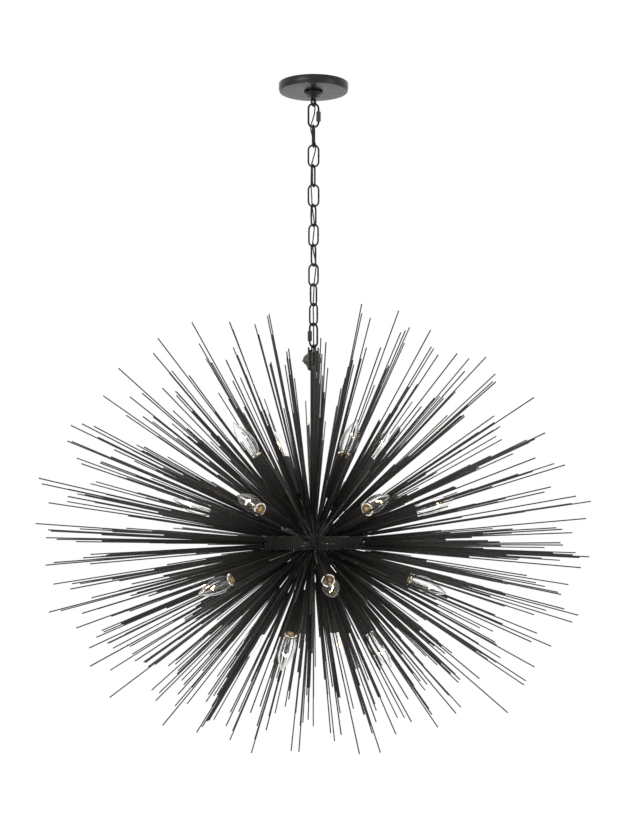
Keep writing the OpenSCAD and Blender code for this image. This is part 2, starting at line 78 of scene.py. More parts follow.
def make_lights():
    world = bpy.data.worlds.new("studio")
    world.use_nodes = True
    world.node_tree.nodes["Background"].inputs[0].default_value = (1.0, 1.0, 1.0, 1)
    world.node_tree.nodes["Background"].inputs[1].default_value = 1.0
    scene.world = world

    def soft(name, place, aim, size, power, colour):
        lamp = bpy.data.lights.new(name, "AREA")
        lamp.shape, lamp.size, lamp.energy, lamp.color = "DISK", size, power, colour
        obj = bpy.data.objects.new(name, lamp)
        scene.collection.objects.link(obj)
        obj.location = place
        obj.rotation_euler = (Vector(aim) - Vector(place)).to_track_quat("-Z", "Y").to_euler()
        obj.visible_camera = False

    soft("key", (-2.3, -3.1, 0.3), (0, 0, -0.85), 2.8, 62, (1.0, 0.97, 0.93))
    soft("fill", (2.4, -1.6, -0.4), (0, 0, -0.9), 1.6, 18, (0.96, 0.98, 1.0))


def make_floor():
    n = 128
    ring = [(2.3 * math.cos(2 * math.pi * k / n), 2.3 * math.sin(2 * math.pi * k / n), -2.34) for k in range(n)]
    me = bpy.data.meshes.new("floor")
    me.from_pydata(ring, [], [list(range(n))])
    obj = bpy.data.objects.new("floor", me)
    scene.collection.objects.link(obj)
    me.materials.append(finish("floor_paint", (0.86, 0.86, 0.85), (0.9, 0.9, 0.895), rough=(0.75, 0.85), patch=3, bump=0))


# ------------------------------------------------------------------ materials

def finish(name, dark, light, rough=(0.35, 0.5), metallic=0.0, specular=0.5, patch=60.0, grain=900.0,
           bump=0.2, depth=0.0001, tone=None, coat=0.0, transmission=0.0, ior=1.5, centre=0.5, width=0.25, glow=None):
    """A procedural finish: colour and roughness vary by noise, grain gives a fine bump, tone is a per-piece attribute."""
    m = bpy.data.materials.new(name)
    m.use_nodes = True
    nt = m.node_tree
    nt.nodes.clear()
    new, link = nt.nodes.new, nt.links.new
    out = new("ShaderNodeOutputMaterial")
    b = new("ShaderNodeBsdfPrincipled")
    link(b.outputs[0], out.inputs[0])
    tc = new("ShaderNodeTexCoord")

    def noise(scale, detail, rough_):
        n = new("ShaderNodeTexNoise")
        n.inputs["Scale"].default_value = scale
        n.inputs["Detail"].default_value = detail
        n.inputs["Roughness"].default_value = rough_
        link(tc.outputs["Object"], n.inputs["Vector"])
        return n.outputs["Fac"]

    blotch = noise(patch, 5, 0.6)
    factor = blotch
    if tone:
        at = new("ShaderNodeAttribute")
        at.attribute_name = tone
        mix = new("ShaderNodeMix")
        mix.inputs[0].default_value = 0.55
        link(blotch, mix.inputs[2])
        link(at.outputs["Fac"], mix.inputs[3])
        factor = mix.outputs[0]
    ramp = new("ShaderNodeValToRGB")
    ramp.color_ramp.elements[0].position = centre - width
    ramp.color_ramp.elements[1].position = centre + width
    ramp.color_ramp.elements[0].color = (*dark, 1)
    ramp.color_ramp.elements[1].color = (*light, 1)
    link(factor, ramp.inputs[0])
    link(ramp.outputs[0], b.inputs["Base Color"])
    r = new("ShaderNodeMapRange")
    r.inputs["From Min"].default_value = 0.3
    r.inputs["From Max"].default_value = 0.7
    r.inputs["To Min"].default_value = rough[0]
    r.inputs["To Max"].default_value = rough[1]
    link(noise(patch * 2.3, 4, 0.6), r.inputs[0])
    link(r.outputs[0], b.inputs["Roughness"])
    if bump:
        bp = new("ShaderNodeBump")
        bp.inputs["Strength"].default_value = bump
        bp.inputs["Distance"].default_value = depth
        link(noise(grain, 6, 0.65), bp.inputs["Height"])
        link(bp.outputs[0], b.inputs["Normal"])
    b.inputs["Metallic"].default_value = metallic
    b.inputs["Specular IOR Level"].default_value = specular
    b.inputs["IOR"].default_value = ior
    b.inputs["Transmission Weight"].default_value = transmission
    b.inputs["Coat Weight"].default_value = coat
    b.inputs["Coat Roughness"].default_value = 0.12
    if glow:
        b.inputs["Emission Color"].default_value = (*glow[0], 1)
        b.inputs["Emission Strength"].default_value = glow[1]
    return m


ROD = finish("rod_blackened_iron", (0.0085, 0.0078, 0.0067), (0.0295, 0.027, 0.0233), rough=(0.34, 0.58), specular=0.31,
             patch=90, grain=1400, bump=0.5, depth=0.00012, tone="tone")
ROD_END = finish("rod_cut_end", (0.05, 0.047, 0.042), (0.13, 0.122, 0.11), rough=(0.3, 0.5), metallic=0.85, patch=500,
                 grain=2500, bump=0.4, depth=0.0001)
PIN = finish("pin_blackened_iron", (0.0042, 0.0039, 0.0034), (0.0165, 0.0152, 0.0132), rough=(0.36, 0.6), specular=0.22,
             patch=90, grain=1400, bump=0.5, depth=0.00012, tone="tone")
WELD = finish("weld_bead", (0.012, 0.011, 0.010), (0.038, 0.035, 0.031), rough=(0.35, 0.6), metallic=0.25, patch=300,
              grain=1800, bump=0.5, depth=0.0002)
IRON = finish("hub_iron", (0.0095, 0.0089, 0.0078), (0.026, 0.0242, 0.0213), rough=(0.36, 0.6), specular=0.38, patch=70, grain=800,
              bump=0.45, depth=0.0003)
KNUCKLE = finish("knuckle_iron", (0.022, 0.022, 0.019), (0.085, 0.083, 0.075), rough=(0.42, 0.65), metallic=0.15,
                 patch=180, grain=700, bump=0.7, depth=0.0006)
SLEEVE = finish("sleeve_black", (0.0078, 0.0073, 0.0064), (0.0145, 0.0136, 0.012), rough=(0.3, 0.44), specular=0.33,
                patch=45, grain=1200, bump=0.15, depth=0.0001)
CANOPY = finish("canopy_satin_black", (0.0055, 0.0054, 0.0052), (0.0095, 0.0093, 0.009), rough=(0.25, 0.31), specular=0.28,
                patch=25, grain=1500, bump=0.05, depth=0.00005)
CHAIN = finish("chain_iron", (0.0035, 0.0034, 0.0031), (0.0105, 0.0101, 0.0092), rough=(0.4, 0.58), specular=0.16,
               patch=160, grain=1300, bump=0.3, depth=0.0001)
ZINC = finish("zinc_steel", (0.32, 0.32, 0.31), (0.5, 0.5, 0.48), rough=(0.28, 0.42), metallic=1.0, patch=200,
              grain=900, bump=0.15, depth=0.0001)
NUT = finish("nut_steel_dark", (0.012, 0.012, 0.0115), (0.042, 0.042, 0.04), rough=(0.25, 0.38), metallic=0.4, patch=220,
             grain=1200, bump=0.2, depth=0.0001)
NUT_BLACK = finish("nut_blackened", (0.004, 0.0039, 0.0036), (0.015, 0.0145, 0.0133), rough=(0.3, 0.46), specular=0.22, patch=220,
                   grain=1200, bump=0.2, depth=0.0001)
STEM = finish("stem_iron", (0.005, 0.0046, 0.0038), (0.018, 0.0162, 0.0135), rough=(0.36, 0.56), specular=0.22, patch=55, grain=900,
              bump=0.4, depth=0.0002)
CORD_SKIN = finish("cord_black", (0.006, 0.006, 0.006), (0.013, 0.0127, 0.012), rough=(0.42, 0.58), specular=0.25, patch=500,
                   grain=2600, bump=0.5, depth=0.0001)
# The ivory holder rim glows faintly: painted light from the filament, which lights it too little by itself.
IVORY_PAINTED_GLOW = finish("holder_ivory_painted_glow", (0.72, 0.69, 0.62), (0.82, 0.8, 0.74), rough=(0.3, 0.42), patch=150, bump=0.1,
               glow=((1.0, 0.93, 0.8), 0.8))
# The phenolic holder cup and the lamp base's insulator glow a faint amber: painted light from the filament.
PHENOLIC_PAINTED_GLOW = finish("holder_phenolic_painted_glow", (0.05, 0.022, 0.009), (0.09, 0.04, 0.016), rough=(0.35, 0.5), patch=200,
                  glow=((1.0, 0.42, 0.12), 0.06))
BRASS = finish("base_brass", (0.46, 0.30, 0.11), (0.70, 0.50, 0.22), rough=(0.22, 0.38), metallic=1.0, patch=400,
               grain=1200, bump=0.1)
SOLDER = finish("solder", (0.45, 0.45, 0.44), (0.6, 0.6, 0.58), rough=(0.3, 0.45), metallic=1.0, patch=500)
NICKEL = finish("support_wire", (0.35, 0.33, 0.30), (0.5, 0.48, 0.44), rough=(0.25, 0.4), metallic=1.0, patch=900, bump=0)
GLASS = finish("clear_glass", (1, 1, 1), (1, 1, 1), rough=(0.0, 0.01), transmission=1.0, ior=1.42, patch=40,
               grain=60, bump=0.03, depth=0.0003)
STEM_GLASS = finish("stem_glass", (0.97, 0.96, 0.93), (1, 1, 0.98), rough=(0.0, 0.02), transmission=1.0, ior=1.5,
                    patch=60, grain=120, bump=0.1, depth=0.0002)
FILAMENT = finish("filament_glow", (0.5, 0.45, 0.4), (0.6, 0.55, 0.5), rough=(0.4, 0.5), patch=500, bump=0,
                  glow=((1.0, 0.70, 0.34), 60.0))
WIRE_CAP = finish("wire_cap_orange", (0.62, 0.22, 0.03), (0.72, 0.28, 0.05), rough=(0.35, 0.5), patch=200)
LEAD = finish("lead_insulation", (0.66, 0.65, 0.60), (0.75, 0.74, 0.70), rough=(0.4, 0.55), patch=200)


# ------------------------------------------------------------------ mesh making

class Shape:
    """Collects parts in mm, with a material index each, and makes one mesh of them."""

    def __init__(self):
        self.v, self.f, self.m, self.t, self.n = [], [], [], [], 0

    def add(self, part, mat=0, tone=0.5):
        verts, faces = part
        verts = np.asarray(verts, float)
        self.v.append(verts)
        self.f += [[i + self.n for i in f] for f in faces]
        self.m += list(mat) if isinstance(mat, (list, tuple)) else [mat] * len(faces)
        self.t.append(np.full(len(verts), tone, np.float32))
        self.n += len(verts)
        return self

    def mesh(self, name, materials, angle=38.0, orient=True):
        me = bpy.data.meshes.new(name)
        me.from_pydata((np.concatenate(self.v) * MM).tolist(), [], self.f)
        for m in materials:
            me.materials.append(m)
        me.polygons.foreach_set("material_index", np.array(self.m, np.int32))
        at = me.attributes.new("tone", "FLOAT", "POINT")
        at.data.foreach_set("value", np.concatenate(self.t))
        if orient:
            bm = bmesh.new()
            bm.from_mesh(me)
            bmesh.ops.recalc_face_normals(bm, faces=bm.faces)
            bm.to_mesh(me)
            bm.free()
        me.shade_smooth()
        me.set_sharp_from_angle(angle=math.radians(angle))
        me.update()
        return me


def piece(name, me, body, replaces=(), matrix=None):
    obj = bpy.data.objects.new(name, me)
    scene.collection.objects.link(obj)
    if matrix is not None:
        obj.matrix_world = matrix
    if body:
        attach(obj, body)
    if replaces:
        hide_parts(*replaces)
    return obj


def lathe(profile, seg=64):
    """Turns (r, z) points about Z. A point at r = 0 is a pole. The profile is a closed loop unless both ends are poles."""
    pts = [(max(0.0, r), z) for r, z in profile]
    verts, rings = [], []
    ang = [2 * math.pi * k / seg for k in range(seg)]
    for r, z in pts:
        if r < 1e-9:
            rings.append([len(verts)])
            verts.append((0, 0, z))
        else:
            rings.append(list(range(len(verts), len(verts) + seg)))
            verts += [(r * math.cos(a), r * math.sin(a), z) for a in ang]
    faces = []
    poles = pts[0][0] < 1e-9 and pts[-1][0] < 1e-9
    pairs = list(zip(rings[:-1], rings[1:])) + ([] if poles else [(rings[-1], rings[0])])
    for a, b in pairs:
        if len(a) == 1 and len(b) == 1:
            continue
        for k in range(seg):
            j = (k + 1) % seg
            if len(a) == 1:
                faces.append([a[0], b[k], b[j]])
            elif len(b) == 1:
                faces.append([a[k], b[0], a[j]])
            else:
                faces.append([a[k], b[k], b[j], a[j]])
    return np.array(verts), faces


def frames_along(p):
    """Tangent and two side directions at each point, carried along without twist."""
    p = np.asarray(p, float)
    t = np.gradient(p, axis=0)
    t /= np.linalg.norm(t, axis=1)[:, None]
    u = np.cross(t[0], [0.0, 1.0, 0.0])
    if np.linalg.norm(u) < 1e-3:
        u = np.cross(t[0], [1.0, 0.0, 0.0])
    u /= np.linalg.norm(u)
    us = [u]
    for i in range(1, len(p)):
        u = us[-1] - t[i] * (us[-1] @ t[i])
        us.append(u / np.linalg.norm(u))
    us = np.array(us)
    return t, us, np.cross(t, us)


def sweep(p, radius, sides=12, closed=False, squash=None):
    """A round wire along points; radius is a number or one number a point."""
    p = np.asarray(p, float)
    n = len(p)
    if closed:
        ext = np.vstack([p[-2:], p, p[:2]])
        t, u, v = (a[2:-2] for a in frames_along(ext))
        t = np.roll(p, -1, 0) - np.roll(p, 1, 0)
        t /= np.linalg.norm(t, axis=1)[:, None]
    else:
        t, u, v = frames_along(p)
    r = np.broadcast_to(np.asarray(radius, float), (n,))
    ang = np.arange(sides) * 2 * math.pi / sides
    ring = np.cos(ang)[None, :, None] * u[:, None, :] + np.sin(ang)[None, :, None] * v[:, None, :]
    verts = (p[:, None, :] + r[:, None, None] * ring).reshape(-1, 3)
    faces = []
    for i in range(n if closed else n - 1):
        a, b = i * sides, ((i + 1) % n) * sides
        for k in range(sides):
            j = (k + 1) % sides
            faces.append([a + k, a + j, b + j, b + k])
    if not closed:
        faces.append(list(range(sides))[::-1])
        faces.append([(n - 1) * sides + k for k in range(sides)])
    return verts, faces


def blob(centre, axes, seed, rough=0.12):
    """A lumpy bead: a small sphere stretched along three given axis vectors."""
    verts, faces = BALL
    g = np.random.default_rng(seed)
    wob = 1 + rough * (g.random(len(verts)) * 2 - 1)
    return np.asarray(centre) + (verts * wob[:, None]) @ np.asarray(axes), faces


def ball():
    bm = bmesh.new()
    bmesh.ops.create_icosphere(bm, subdivisions=2, radius=1)
    verts = np.array([v.co[:] for v in bm.verts])
    faces = [[v.index for v in f.verts] for f in bm.faces]
    bm.free()
    return verts, faces


BALL = ball()


def away(a, e):
    a, e = math.radians(a), math.radians(e)
    return np.array([math.cos(e) * math.sin(a), -math.cos(e) * math.cos(a), math.sin(e)])


def radial(a, e):
    """The matrix that turns +Z to a light's direction and moves it to the hub, in metres."""
    return (Matrix.Translation(Vector(HUB * MM)) @ Matrix.Rotation(math.radians(a - 90), 4, "Z")
            @ Matrix.Rotation(math.radians(90 - e), 4, "Y"))


def chance(*k):
    v = math.sin(sum((i + 1) * 127.1 * (j + 1.7) for j, i in enumerate(k))) * 43758.5453
    return v - math.floor(v)


# ------------------------------------------------------------------ rods

def components(node):
    """The separate solids of a CAD node, each as an array of its corner points in mm."""
    me = nodes[node].data
    co = np.zeros(len(me.vertices) * 3, np.float32)
    me.vertices.foreach_get("co", co)
    co = co.reshape(-1, 3).astype(float) / MM
    key = {}
    same = np.empty(len(co), int)
    for i, k in enumerate(map(tuple, np.round(co, 3))):
        same[i] = key.setdefault(k, i)
    ed = np.zeros(len(me.edges) * 2, np.int64)
    me.edges.foreach_get("vertices", ed)
    ed = same[ed.reshape(-1, 2)]
    label = np.arange(len(co))
    while True:
        low = np.minimum(label[ed[:, 0]], label[ed[:, 1]])
        new = label.copy()
        np.minimum.at(new, ed[:, 0], low)
        np.minimum.at(new, ed[:, 1], low)
        new = new[new]
        if (new == label).all():
            break
        label = new
    label = label[same]
    order = np.argsort(label, kind="stable")
    cuts = np.nonzero(np.diff(label[order]))[0] + 1
    return [co[g] for g in np.split(order, cuts)]


def axis_of(pts):
    """The two end centres of a straight rod, from its corner points."""
    c = pts.mean(0)
    d = np.linalg.svd(pts - c, full_matrices=False)[2][0]
    s = (pts - c) @ d
    a = np.unique(np.round(pts[s < s.min() + 0.3], 3), axis=0).mean(0)
    b = np.unique(np.round(pts[s > s.max() - 0.3], 3), axis=0).mean(0)
    if np.linalg.norm(a - HUB) > np.linalg.norm(b - HUB):
        a, b = b, a
    return a, b


def rod_part(a, b, r, i):
    """One cut rod: ten sides, an edge left by the shears at the root and a slanted, slightly chamfered cut at the tip."""
    sides = 10
    d = (b - a) / np.linalg.norm(b - a)
    length = np.linalg.norm(b - a)
    u = np.cross(d, [0.3, 0.2, 0.93])
    u /= np.linalg.norm(u)
    v = np.cross(d, u)
    ang = np.arange(sides) * 2 * math.pi / sides + 6.28 * chance(i, 1)
    ring = np.cos(ang)[:, None] * u + np.sin(ang)[:, None] * v
    slope = 0.22 * chance(i, 2)
    turn = 6.28 * chance(i, 3)
    lean = np.cos(ang - turn)
    wide = 1 - 0.02 * chance(i, 4)
    rows = [(0.0, 0.86, 0), (0.5, wide, 0), (length * 0.5, wide * (1 - 0.02 * chance(i, 5)), 0),
            (length - 0.75, wide, 0), (length - 0.3, 0.86, 1)]
    verts = []
    for s, w, cut in rows:
        off = s - cut * slope * r * (1 + lean)
        verts.append(a + ring * (r * w) + np.outer(np.broadcast_to(off, sides), d))
    verts = np.concatenate(verts)
    faces, mats = [list(range(sides))[::-1]], [1]
    for k in range(len(rows) - 1):
        for j in range(sides):
            q = (j + 1) % sides
            faces.append([k * sides + j, k * sides + q, (k + 1) * sides + q, (k + 1) * sides + j])
            mats.append(0)
    faces.append([(len(rows) - 1) * sides + j for j in range(sides)])
    mats.append(1)
    return (verts, faces), mats


def make_rods():
    names = ["rods_top", "rods_upper", "rods_equator", "rods_lower", "rods_bottom"]
    rods = []
    for name in names:
        for pts in components(name):
            a, b = axis_of(pts)
            rods.append((name, a, b))
    roots = np.array([a for _, a, _ in rods])
    tips = np.array([b for _, _, b in rods])
    dirs = (tips - roots) / np.linalg.norm(tips - roots, axis=1)[:, None]
    lens = np.linalg.norm(tips - roots, axis=1)

    def nearest(p, skip):
        s = np.clip(((p - roots) * dirs).sum(1), 0, lens)
        d = np.linalg.norm(p - (roots + dirs * s[:, None]), axis=1)
        d[skip] = 1e9
        k = int(d.argmin())
        return k, d[k], roots[k] + dirs[k] * s[k]

    for name in names:
        rod_shape, bead_shape = Shape(), Shape()
        for i, (own, a, b) in enumerate(rods):
            if own != name:
                continue
            part, mats = rod_part(a, b, 1.27, i)
            rod_shape.add(part, mats, tone=0.15 + 0.7 * chance(i, 9))
            d = dirs[i]
            u = np.cross(d, [0.3, 0.2, 0.93])
            u /= np.linalg.norm(u)
            v = np.cross(d, u)
            size = 1.9 + 0.7 * chance(i, 11)
            if np.linalg.norm(a - HUB) < 62 or (abs(a[2] - HUB[2]) < 15.5 and np.linalg.norm(a - HUB) < 110):
                bead_shape.add(blob(a + d * 0.8, [u * size * 1.1, v * size * 1.1, d * size * 0.9], i * 3 + 1))
            for s in (1.5, lens[i] * (0.28 + 0.2 * chance(i, 12))):
                k, gap, q = nearest(a + d * s, i)
                if gap < 3.4:
                    side = (q - a - d * s) / gap
                    up = np.cross(d, side)
                    mid = (a + d * s + q) / 2
                    bead_shape.add(blob(mid, [side * 1.5, up * 1.15, d * (2.4 + 1.6 * chance(i, 13))], i * 3 + 2))
        piece(name + "_cut", rod_shape.mesh(name + "_cut", [ROD, ROD_END], angle=50, orient=False), "fixture",
              [name])
        piece(name + "_beads", bead_shape.mesh(name + "_beads", [WELD], angle=80, orient=False), "fixture")
    return len(rods)


# ------------------------------------------------------------------ chain and cord

TURN = [62, 0, 80, 0, 75, -3, 64, -27, 66, -28, 55, -43, 42, 130]
WIRE = [4.5, 4] + [3.6] * 10 + [4]
LINK_W = 24.4


def link_heights():
    low, top = [-44.7], [0]
    for k in range(1, 13):
        long = (52 if k in (1, 12) else 47.7) - WIRE[k]
        top.append(low[k - 1] + (WIRE[k - 1] + WIRE[k]) / 2 + 0.25)
        low.append(top[k] - long)
    return top, low


TOP, LOW = link_heights()


def oval_path(length, width, wire, arc=20, leg=8):
    """Centre line of a link in its own plane: the right leg up, over the top, the left leg down, and round below."""
    r, s = (width - wire) / 2, length / 2 - width / 2
    p = [(r, z) for z in np.linspace(-s, s, leg, endpoint=False)]
    p += [(r * math.cos(t), s + r * math.sin(t)) for t in np.linspace(0, math.pi, arc, endpoint=False)]
    p += [(-r, z) for z in np.linspace(s, -s, leg, endpoint=False)]
    p += [(r * math.cos(t), -s + r * math.sin(t)) for t in np.linspace(math.pi, 2 * math.pi, arc, endpoint=False)]
    return np.array([(x, 0, z) for x, z in p])


def hang(k, pts):
    a = math.radians(TURN[k])
    c, s = math.cos(a), math.sin(a)
    pts = np.asarray(pts, float)
    return np.stack([pts[:, 0] * c - pts[:, 1] * s, pts[:, 0] * s + pts[:, 1] * c,
                     pts[:, 2] + (TOP[k] + LOW[k]) / 2], 1)


def make_plain_link(k):
    path = oval_path(47.7, LINK_W, WIRE[k], arc=22, leg=13)
    r = np.full(len(path), WIRE[k] / 2)
    side = 1 if k % 2 else -1
    near = np.exp(-(((path[:, 2] - 1.5 * (chance(k) - 0.5)) / 1.5) ** 2)) * (path[:, 0] * side > 5)
    r = r + 0.3 * near
    verts, faces = sweep(path, r, sides=18, closed=True)
    shape = Shape().add((hang(k, verts), faces))
    piece(f"link_{k:02d}_welded", shape.mesh(f"link_{k:02d}_welded", [CHAIN], angle=60), f"link_{k:02d}",
          [f"link_{k:02d}"])


def quick_path(side):
    """Centre line of a screw link, from one edge of its gap round to the other. side is 1 for a gap in the right leg."""
    r, s = (LINK_W - 4) / 2, 26 - LINK_W / 2
    lo, hi = -12.0, -7.0
    p = [(r, z) for z in np.linspace(hi, s, 14, endpoint=False)]
    p += [(r * math.cos(t), s + r * math.sin(t)) for t in np.linspace(0, math.pi, 22, endpoint=False)]
    p += [(-r, z) for z in np.linspace(s, -s, 14, endpoint=False)]
    p += [(r * math.cos(t), -s + r * math.sin(t)) for t in np.linspace(math.pi, 2 * math.pi, 22, endpoint=False)]
    p += [(r, z) for z in np.linspace(-s, lo, 3)]
    return np.array([(side * x, 0, z) for x, z in p])


def thread_rings(z0, z1, r, crest, pitch=0.8, seg=24):
    """A threaded stretch as a closed turned profile with a crest every pitch."""
    prof = [(0, z0), (r, z0)]
    z = z0 + pitch / 2
    while z < z1 - pitch / 2:
        prof += [(r, z - pitch * 0.3), (r + crest, z), (r, z + pitch * 0.3)]
        z += pitch
    prof += [(r, z1), (0, z1)]
    return lathe(prof, seg)


def make_quick_link(k, side):
    path = quick_path(side)
    verts, faces = sweep(path, 2.0, sides=20)
    shape = Shape().add((hang(k, verts), faces))
    x = side * (LINK_W - 4) / 2
    tv, tf = thread_rings(-7.0, 12.6, 1.96, 0.1)
    shape.add((hang(k, tv + [x, 0, 0]), tf))
    name = f"link_{k:02d}"
    piece(name + "_screw", shape.mesh(name + "_screw", [CHAIN], angle=45), name, [name])


def make_sleeve_nut(k, side, node):
    """Six flats with rounded edges and chamfered ends, and a through hole."""
    x = side * (LINK_W - 4) / 2
    flats, seg = 6, 48
    rows = [(3.8, 0.0), (4.2, 0.35), (4.8, 1.3), (4.8, 2.4), (4.8, 10.0), (4.8, 17.6), (4.8, 18.7), (4.2, 19.65), (3.8, 20.0)]
    verts = []
    for r, z in rows:
        for j in range(seg):
            a = 2 * math.pi * j / seg
            local = (a % (math.pi / 3)) - math.pi / 6
            hexed = 4.15 / max(math.cos(local), 1e-6)
            rr = min(hexed, 4.66, r)
            verts.append((rr * math.cos(a), rr * math.sin(a), z))
    inner = [(2.12, 20.0), (2.12, 0.0)]
    for r, z in inner:
        verts += [(r * math.cos(2 * math.pi * j / seg), r * math.sin(2 * math.pi * j / seg), z) for j in range(seg)]
    n = len(rows) + 2
    faces = [[i * seg + j, i * seg + (j + 1) % seg, ((i + 1) % n) * seg + (j + 1) % seg, ((i + 1) % n) * seg + j]
             for i in range(n) for j in range(seg)]
    verts = np.array(verts) + [x, 0, -12.4]
    shape = Shape().add((hang(k, verts), faces))
    piece(node + "_hex", shape.mesh(node + "_hex", [NUT if k == 1 else NUT_BLACK], angle=22), node, [node])


CORD = [[0, 0, -1], [0, 0, -14], [0, 0, -27], [0, -0.2, -31.5], [0.6, -1.9, -34.5],
        [1.4, -3.8, -37.5], [2.1, -5.3, -41], [2.7, -5.6, -46], [2.6, -3.6, -55], [0.8, -0.8, -65],
        [-2.8, 2.2, -76], [-5.5, 4.2, -86], [-4.8, 2.6, -96], [-2.2, 0, -106], [1.5, -2.6, -116],
        [4.2, -4.2, -126], [3.6, -2.4, -136], [1, 0, -146], [-2, 2.6, -156], [-4.2, 4.2, -166.6],
        [-4.7, 0, -187], [-5, -3.7, -206.8], [-3.7, 0, -227], [-2.7, 4.6, -247], [-0.5, 0, -267],
        [1.7, -5.1, -287.3], [0, 0, -307.5], [-1.8, 5.1, -327.6], [1.6, 3.4, -347.7],
        [5.1, 1.8, -367.8], [3.2, -1.7, -388], [1.3, -5.3, -408], [0.3, 0, -428], [-0.6, 5.4, -448.3],
        [-0.3, 0, -468.5], [0, -5.4, -488.6], [0.2, 0, -510.5], [0.4, 5.4, -532.4], [0.3, 4.6, -538],
        [0, 1.8, -543.5], [0, 0, -549], [0, 0, -600], [0, 0, -700], [0, 0, -800], [0, 0, -908]]


def smooth(points, n):
    p = np.array(points, float)
    out = []
    for i in range(len(p) - 1):
        a, b, c, d = p[max(i - 1, 0)], p[i], p[i + 1], p[min(i + 2, len(p) - 1)]
        for t in np.arange(n) / n:
            out.append(0.5 * (2 * b + (c - a) * t + (2 * a - 5 * b + 4 * c - d) * t * t + (3 * b - a - 3 * c + d) * t ** 3))
    out.append(p[-1])
    return np.array(out)


def make_cord():
    """The cord is one line of points, cut at the middle of each link. Each stretch bends across one joint."""
    line = smooth(CORD, 6)
    cuts = [-1.0] + [(TOP[k] + LOW[k]) / 2 for k in range(1, 13)] + [-908.0]
    # every cut falls on a point of the line, so that two stretches share one ring
    z = line[:, 2]
    at = [0] + [int(np.abs(z - c).argmin()) for c in cuts[1:-1]] + [len(line) - 1]
    verts, faces = sweep(line, 1.3, sides=12)
    sides = 12
    for k in range(13):
        i0, i1 = at[k], at[k + 1]
        part = verts[i0 * sides:(i1 + 1) * sides]
        fs = []
        for i in range(i1 - i0):
            for s in range(sides):
                q = (s + 1) % sides
                fs.append([i * sides + s, i * sides + q, (i + 1) * sides + q, (i + 1) * sides + s])
        fs.append(list(range(sides))[::-1])
        fs.append([(i1 - i0) * sides + s for s in range(sides)])
        name = f"power_cord_{k + 1:02d}"
        me = Shape().add((part, fs)).mesh(name, [CORD_SKIN], angle=80)
        obj = bpy.data.objects.new(name, me)
        scene.collection.objects.link(obj)
        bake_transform(obj)
        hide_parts("power_cord")


# ------------------------------------------------------------------ ceiling pieces

def make_canopy():
    R, H = 70.5, 16.6
    outer = [(R - 0.15, -0.2), (R, -0.5), (R, -H + 5.0), (R - 0.14, -H + 4.5), (R - 0.75, -H + 3.85), (R - 1.0, -H + 3.4),
             (R - 1.05, -H + 2.0), (R - 1.25, -H + 1.1), (R - 1.75, -H + 0.42), (R - 2.5, -H + 0.06), (R - 3.2, -H), (40, -H),
             (20, -H), (13.6, -H), (13.1, -H + 0.15), (12.9, -H + 0.5)]
    inner = [(12.9, -H + 1.0), (13.2, -H + 1.2), (20, -H + 1.2), (40, -H + 1.2), (R - 3.4, -H + 1.2), (R - 2.6, -H + 1.6),
             (R - 2.25, -H + 2.4), (R - 2.2, -H + 3.8), (R - 1.9, -H + 4.4), (R - 1.3, -H + 5.0), (R - 1.2, -H + 5.6), (R - 1.2, -0.2)]
    piece("canopy_pan", Shape().add(lathe(outer + inner, 192)).mesh("canopy_pan", [CANOPY], angle=50), "canopy",
          ["canopy"])


def make_collar():
    prof = [(12.7, -16.8), (18.5, -16.8), (18.85, -16.95), (19, -17.3), (19, -19.6), (18.9, -20.3), (18.6, -21),
            (18.1, -21.6), (17.4, -22.1), (16.6, -22.35), (16.0, -22.6), (15.7, -23.1), (15.4, -24.0), (15.0, -24.5),
            (14.3, -24.8), (13.2, -24.9), (12.7, -24.7)]
    piece("collar_ring_turned", Shape().add(lathe(prof, 96)).mesh("collar_ring_turned", [CANOPY], angle=55), "collar",
          ["collar_ring"])


# ------------------------------------------------------------------ lights

def bezier(points, n=6):
    """A smooth profile through (r, z) points."""
    return [tuple(q[:2]) for q in smooth([(r, z, 0) for r, z in points], n)]


GLASS_OUT = [(6.0, -4.6), (6.4, -3.2), (8.0, -0.7), (11.4, 3.9), (14.5, 11), (16.3, 19), (16.95, 26),
             (16.75, 33), (15.75, 41), (13.9, 49), (11.5, 57), (8.7, 64.5), (6.0, 70.6), (3.9, 74.9), (2.5, 77.8), (1.5, 79.7), (0.0, 80.5)]
GLASS_IN = [(0.0, 79.8), (1.0, 78.6), (1.9, 76.8), (3.1, 74.2), (5.3, 69.8), (7.95, 63.8), (10.8, 56.5), (13.2, 48.6), (15.05, 40.8),
            (16.05, 32.9), (16.25, 26), (15.6, 19.2), (13.85, 11.5), (10.75, 4.9), (7.4, 0.4), (5.6, -2.4), (5.2, -4.6)]


